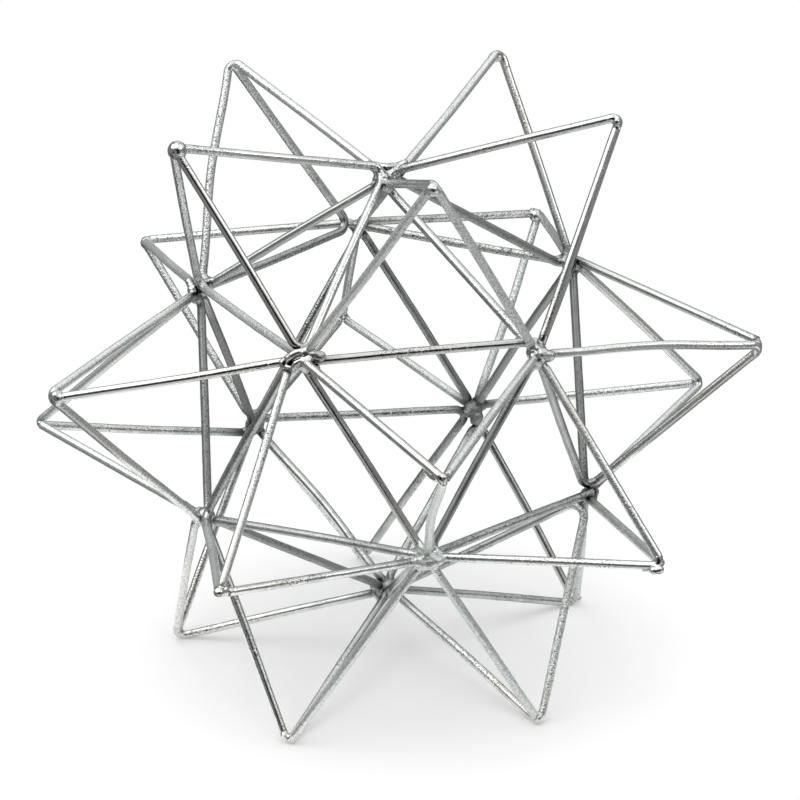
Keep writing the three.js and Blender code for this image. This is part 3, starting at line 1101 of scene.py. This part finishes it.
def plating_group():
    """Shared effect of the plating: dull patches, fine grain, dark specks, small pips, burnt crust with
    painted shade, and painted shade in crevices.
    """
    group = bpy.data.node_groups.new(PLATING, "ShaderNodeTree")
    for side, kind, names in PLATING_SOCKETS:
        for name in names:
            group.interface.new_socket(name, in_out=side, socket_type=kind)
    nodes = NodeTree(group)
    given = nodes.add("NodeGroupInput").outputs
    place = nodes.add("ShaderNodeTexCoord").outputs["Object"]

    def pattern(kind, scale, values=None):
        node = nodes.add(kind, values)
        nodes.join(place, node.inputs["Vector"])
        nodes.join(given[scale], node.inputs["Scale"])
        return node.outputs

    grain = pattern("ShaderNodeTexNoise", "Grain Scale", {"Detail": 2, "Roughness": 0.6})[0]
    blotch = pattern("ShaderNodeTexNoise", "Blotch Scale", {"Detail": 4, "Roughness": 0.65})[0]
    pips = pattern("ShaderNodeTexVoronoi", "Pip Scale")
    sparse = nodes.ramp("sparse", nodes.channels(pips["Color"])[0])
    pip = nodes.times(nodes.ramp("pip", pips["Distance"]), sparse)
    stretches = nodes.channels(pattern("ShaderNodeTexNoise", "Stretch Scale", {"Detail": 1})["Color"])
    leg_grain = nodes.attribute(GRAIN_ATTRIBUTE)
    rugged = nodes.ramp("rugged", leg_grain)
    unpolished = nodes.ramp("unpolished", leg_grain)
    coarse = nodes.larger(nodes.ramp("coarse", stretches[0]), rugged)
    satin = nodes.times(nodes.ramp("satin", stretches[1]), unpolished)
    yellowed = nodes.ramp("yellowed", stretches[2])
    patch = nodes.times(nodes.ramp("patch", blotch), unpolished)
    tone = nodes.attribute(TONE_ATTRIBUTE)
    bloom = nodes.ramp("bloom", tone)
    stain = nodes.ramp("stain", tone)
    pit = nodes.times(nodes.times(pip, rugged), PIT_SHARE)
    speck = nodes.larger(nodes.times(nodes.ramp("speck", grain), coarse), pit)
    speck = nodes.times(speck, nodes.ramp("speck_in_bloom", bloom))
    # Painted crevice shade, burnt crust with painted shade, and tarnish with painted shade on inward sides
    crevice_shade, crust_and_shade, tarnish_and_shade = shade_and_burn_masks(nodes, given, place)
    # Dull patches, stains, and tarnish with painted shade on the inward sides
    dulled_and_shaded = nodes.plus(nodes.times(patch, PATCH_SHARE), nodes.plus(tarnish_and_shade, stain))
    dulled_and_shaded = nodes.minus(dulled_and_shaded, bloom)

    mottled = nodes.blend(nodes.ramp("mottle", grain), given["Bloom"], given["Dull"])
    clean = nodes.blend(bloom, nodes.blend(yellowed, given["Bright"], given["Warm"]), mottled)
    tarnished_and_shaded = nodes.blend(dulled_and_shaded, clean, given["Dull"])
    stained = nodes.blend(nodes.times(stain, STAIN_SHARE), tarnished_and_shaded, given["Crust_and_shade"])
    # Burnt crust with painted shade round the darker hubs
    crusted_and_shaded = nodes.blend(crust_and_shade, stained, given["Crust_and_shade"])
    # Near-black painted shade in the crevices goes over everything
    colours = nodes.blend(crevice_shade, nodes.blend(speck, crusted_and_shaded, given["Speck"]), given["Crevice_shade"])

    worn = nodes.plus(nodes.times(satin, SATIN_SHARE), nodes.times(dulled_and_shaded, DULLED_SHARE))
    matt = nodes.plus(nodes.plus(crust_and_shade, nodes.times(bloom, BLOOM_SHARE)), stain)
    worn = nodes.times(nodes.plus(nodes.times(matt, MATT_SHARE), worn), unpolished)
    spread = nodes.minus(given["Rough"], given["Smooth"])
    pitted = nodes.plus(grain, nodes.times(pip, PIP_SHARE))
    relief = nodes.times(nodes.plus(coarse, rugged), nodes.ramp("relief", unpolished))

    result = nodes.add("NodeGroupOutput").inputs
    nodes.join(colours, result["Colour"])
    nodes.join(nodes.ramp("metallic", bloom), result["Metallic"])
    nodes.join(nodes.plus(given["Smooth"], nodes.times(worn, spread)), result["Roughness"])
    nodes.join(nodes.times(pitted, relief), result["Height"])
    return group


def empty_nodes(owner):
    """The emptied node tree of a new material or world."""
    owner.use_nodes = True
    owner.node_tree.nodes.clear()
    return NodeTree(owner.node_tree)


def plated_metal(plating, finish, middle):
    """Silver plating over wire or weld metal."""
    name, smooth, rough, bump_depth = plating
    material = bpy.data.materials.get(name)
    if material:
        return material
    material = bpy.data.materials.new(name)
    nodes = empty_nodes(material)
    values = {tint: (*getattr(finish, tint.lower()), 1) for tint in PLATING_COLOURS}
    widths = (finish.grain, finish.blotch, finish.pip_spacing, finish.stretch)
    values.update({scale: 1 / width for scale, width in zip(PLATING_SCALES, widths)})
    values.update({"Middle": middle, "Soot Reach": finish.soot_reach, "Smooth": smooth, "Rough": rough})
    group = bpy.data.node_groups.get(PLATING) or plating_group()
    effect = nodes.add("ShaderNodeGroup", values, node_tree=group).outputs
    bump = nodes.add("ShaderNodeBump", {"Strength": 1, "Distance": bump_depth})
    nodes.join(effect["Height"], bump.inputs["Height"])
    metal = nodes.add("ShaderNodeBsdfPrincipled")
    nodes.join(effect["Colour"], metal.inputs["Base Color"])
    nodes.join(effect["Metallic"], metal.inputs["Metallic"])
    nodes.join(effect["Roughness"], metal.inputs["Roughness"])
    nodes.join(bump.outputs["Normal"], metal.inputs["Normal"])
    nodes.surface(metal)
    return material


def background_rays(nodes):
    """1 for the rays that see the background: from the camera, off a glossy face or through a clear one."""
    path = nodes.add("ShaderNodeLightPath").outputs
    seen = nodes.plus(path["Is Camera Ray"], path["Is Glossy Ray"])
    return nodes.plus(seen, path["Is Transmission Ray"])


def stage_object(name, mesh, material):
    """An object of the stage, which isn't part of the star."""
    placed = linked(name, mesh)
    mesh.materials.append(material)
    return placed


def make_table(stage):
    """A round white table that keeps the star's shadow and glows most at its rim."""
    radius = stage.table_radius
    shape = bmesh.new()
    bmesh.ops.create_circle(shape, cap_ends=True, segments=TABLE_SIDES, radius=radius)
    mesh = bpy.data.meshes.new("table")
    shape.to_mesh(mesh)
    shape.free()
    material = bpy.data.materials.new("white_table")
    nodes = empty_nodes(material)
    matt = nodes.add("ShaderNodeBsdfDiffuse", {"Color": TABLE_COLOUR})
    white = nodes.add("ShaderNodeEmission", {"Color": WHITE})
    place = nodes.add("ShaderNodeTexCoord").outputs["Object"]
    from_middle = nodes.vectors("LENGTH", place)["Value"]
    glow = nodes.remap(from_middle, TABLE_GLOW_START * radius, radius, *TABLE_GLOW)
    nodes.join(nodes.times(background_rays(nodes), glow), white.inputs["Strength"])
    both = nodes.add("ShaderNodeAddShader")
    nodes.feed(both.inputs, (matt.outputs[0], white.outputs[0]))
    nodes.surface(both)
    stage_object("table", mesh, material)


def surround_mesh(radius, top, middle):
    """A globe round the middle of the star, open above an elevation."""
    vertices, faces = [], []
    for i in range(SURROUND_RINGS + 1):
        height = SURROUND_FOOT + (top - SURROUND_FOOT) * i / SURROUND_RINGS
        out = math.cos(height)
        for j in range(SURROUND_SIDES):
            turn = 2 * math.pi * j / SURROUND_SIDES
            place = Vector((out * math.cos(turn), out * math.sin(turn), math.sin(height)))
            vertices.append(place * radius + middle)
    for i in range(SURROUND_RINGS):
        low, high = i * SURROUND_SIDES, (i + 1) * SURROUND_SIDES
        for j in range(SURROUND_SIDES):
            ahead = (j + 1) % SURROUND_SIDES
            faces.append((low + j, high + j, high + ahead, low + ahead))
    mesh = bpy.data.meshes.new("surround")
    mesh.from_pydata(vertices, [], faces)
    return mesh


def make_surround(stage, middle):
    """The dim room round the table, open above. The wires mirror it as their dark streaks."""
    radius = stage.surround_radius
    material = bpy.data.materials.new("dim_room")
    nodes = empty_nodes(material)
    position = nodes.add("ShaderNodeNewGeometry").outputs["Position"]
    from_star = nodes.vectors("SUBTRACT", position, middle)[0]
    level = stage.surround_level
    for bearing, elevation, inner, outer, brightness in ROOM_PATCHES:
        facing = nodes.vectors("DOT_PRODUCT", from_star, heading(stage, bearing, elevation))["Value"]
        limits = [radius * math.cos(math.radians(edge)) for edge in (outer, inner)]
        level = nodes.mix(nodes.remap(facing, *limits, 0, 1), level, brightness)
    glow = nodes.add("ShaderNodeEmission", {"Color": WHITE})
    nodes.join(level, glow.inputs["Strength"])
    nodes.surface(glow)
    room = stage_object("surround", surround_mesh(radius, stage.surround_top, middle), material)
    room.visible_camera = False
    room.visible_shadow = False


def make_world():
    """A white background, and a soft even light from it."""
    world = bpy.data.worlds.new("studio")
    nodes = empty_nodes(world)
    white = nodes.add("ShaderNodeBackground", {"Color": WHITE, "Strength": 1})
    nodes.surface(white, "ShaderNodeOutputWorld")
    bpy.context.scene.world = world


def heading(stage, bearing, elevation):
    """Unit vector to a bearing, to the right from the camera's side, and an elevation, in degrees."""
    right, _, back = viewing_axes(stage.azimuth, stage.elevation)
    turn, height = math.radians(bearing), math.radians(elevation)
    front = Vector((back.x, back.y, 0)).normalized()
    level = front * math.cos(turn) + right * math.sin(turn)
    return level * math.cos(height) + Vector((0, 0, math.sin(height)))


def make_softbox(name, stage, middle, bearing, elevation, size, distance, radiance):
    """A square area lamp that faces the star."""
    aim = heading(stage, bearing, elevation)
    data = bpy.data.lights.new(name, "AREA")
    data.shape = "SQUARE"
    data.size = size
    data.energy = radiance * math.pi * size ** 2
    lamp = linked(name, data)
    lamp.location = middle + aim * distance
    lamp.rotation_mode = "QUATERNION"
    lamp.rotation_quaternion = aim.to_track_quat("Z", "Y")


def make_camera(stage, middle):
    """The camera at the photograph's viewing angle."""
    right, up, back = viewing_axes(stage.azimuth, stage.elevation)
    data = bpy.data.cameras.new("camera")
    data.lens = stage.lens
    data.sensor_width = stage.sensor
    camera = linked("camera", data)
    camera.location = middle + back * stage.distance
    aim = middle + right * stage.aim_right - up * stage.aim_down
    camera.rotation_mode = "QUATERNION"
    camera.rotation_quaternion = (aim - camera.location).to_track_quat("-Z", "Y")
    bpy.context.scene.camera = camera


class StarOperator(bpy.types.Operator):
    """What the star's operators share."""

    bl_options = {"REGISTER", "UNDO"}

    def plan(self, context):
        return Star(context.scene.star_sizes)

    def make_welds(self, context, kind, make_weld):
        """Makes the welds at the hubs or at the points."""
        star = self.plan(context)
        material = plated_metal(WELD_PLATING, context.scene.star_finish, star.middle)
        for corner in star.places:
            if kind in corner:
                make_weld(corner, star, material)


class STAR_OT_wires(StarOperator):
    """Bend the ray loops and the struts as round plated wire"""

    bl_idname = "star.wires"
    bl_label = "Wires"

    def execute(self, context):
        star = self.plan(context)
        material = plated_metal(WIRE_PLATING, context.scene.star_finish, star.middle)
        for wire in star.wires:
            make_wire(wire, star, material)
        return {"FINISHED"}


class STAR_OT_hub_welds(StarOperator):
    """Melt a bead of weld metal over each hub"""

    bl_idname = "star.hub_welds"
    bl_label = "Hub welds"

    def execute(self, context):
        self.make_welds(context, "hub", make_hub_weld)
        return {"FINISHED"}


class STAR_OT_point_welds(StarOperator):
    """Melt a small weld into each ray's point"""

    bl_idname = "star.point_welds"
    bl_label = "Point welds"

    def execute(self, context):
        self.make_welds(context, "point", make_point_weld)
        return {"FINISHED"}


class STAR_OT_stage(StarOperator):
    """Set the table, the lights and the camera"""

    bl_idname = "star.stage"
    bl_label = "Stage"

    def execute(self, context):
        stage = context.scene.star_stage
        middle = self.plan(context).middle
        context.scene.view_settings.view_transform = "Standard"
        make_table(stage)
        make_surround(stage, middle)
        make_world()
        for name, lamp in SOFTBOXES.items():
            make_softbox(name, stage, middle, *lamp)
        make_camera(stage, middle)
        return {"FINISHED"}


class STAR_PT_panel(bpy.types.Panel):
    """The star's operators and settings"""

    bl_idname = "STAR_PT_panel"
    bl_label = "Metal Star"
    bl_space_type = "VIEW_3D"
    bl_region_type = "UI"
    bl_category = "Star"

    def draw(self, context):
        layout = self.layout
        for operator in OPERATORS:
            layout.operator(operator.bl_idname)
        for group in (context.scene.star_sizes, context.scene.star_finish, context.scene.star_stage):
            column = layout.column(align=True)
            for name in group.__annotations__:
                column.prop(group, name)


GROUPS = {"star_sizes": StarSizes, "star_finish": StarFinish, "star_stage": StarStage}
OPERATORS = (STAR_OT_wires, STAR_OT_hub_welds, STAR_OT_point_welds, STAR_OT_stage)


def register():
    for name, group in GROUPS.items():
        bpy.utils.register_class(group)
        setattr(bpy.types.Scene, name, PointerProperty(type=group))
    for kind in (*OPERATORS, STAR_PT_panel):
        bpy.utils.register_class(kind)


def unregister():
    for kind in (STAR_PT_panel, *reversed(OPERATORS)):
        bpy.utils.unregister_class(kind)
    for name, group in GROUPS.items():
        delattr(bpy.types.Scene, name)
        bpy.utils.unregister_class(group)


def main():
    register()
    bpy.ops.star.wires()
    bpy.ops.star.hub_welds()
    bpy.ops.star.point_welds()
    bpy.ops.star.stage()


if __name__ == "__main__":
    main()
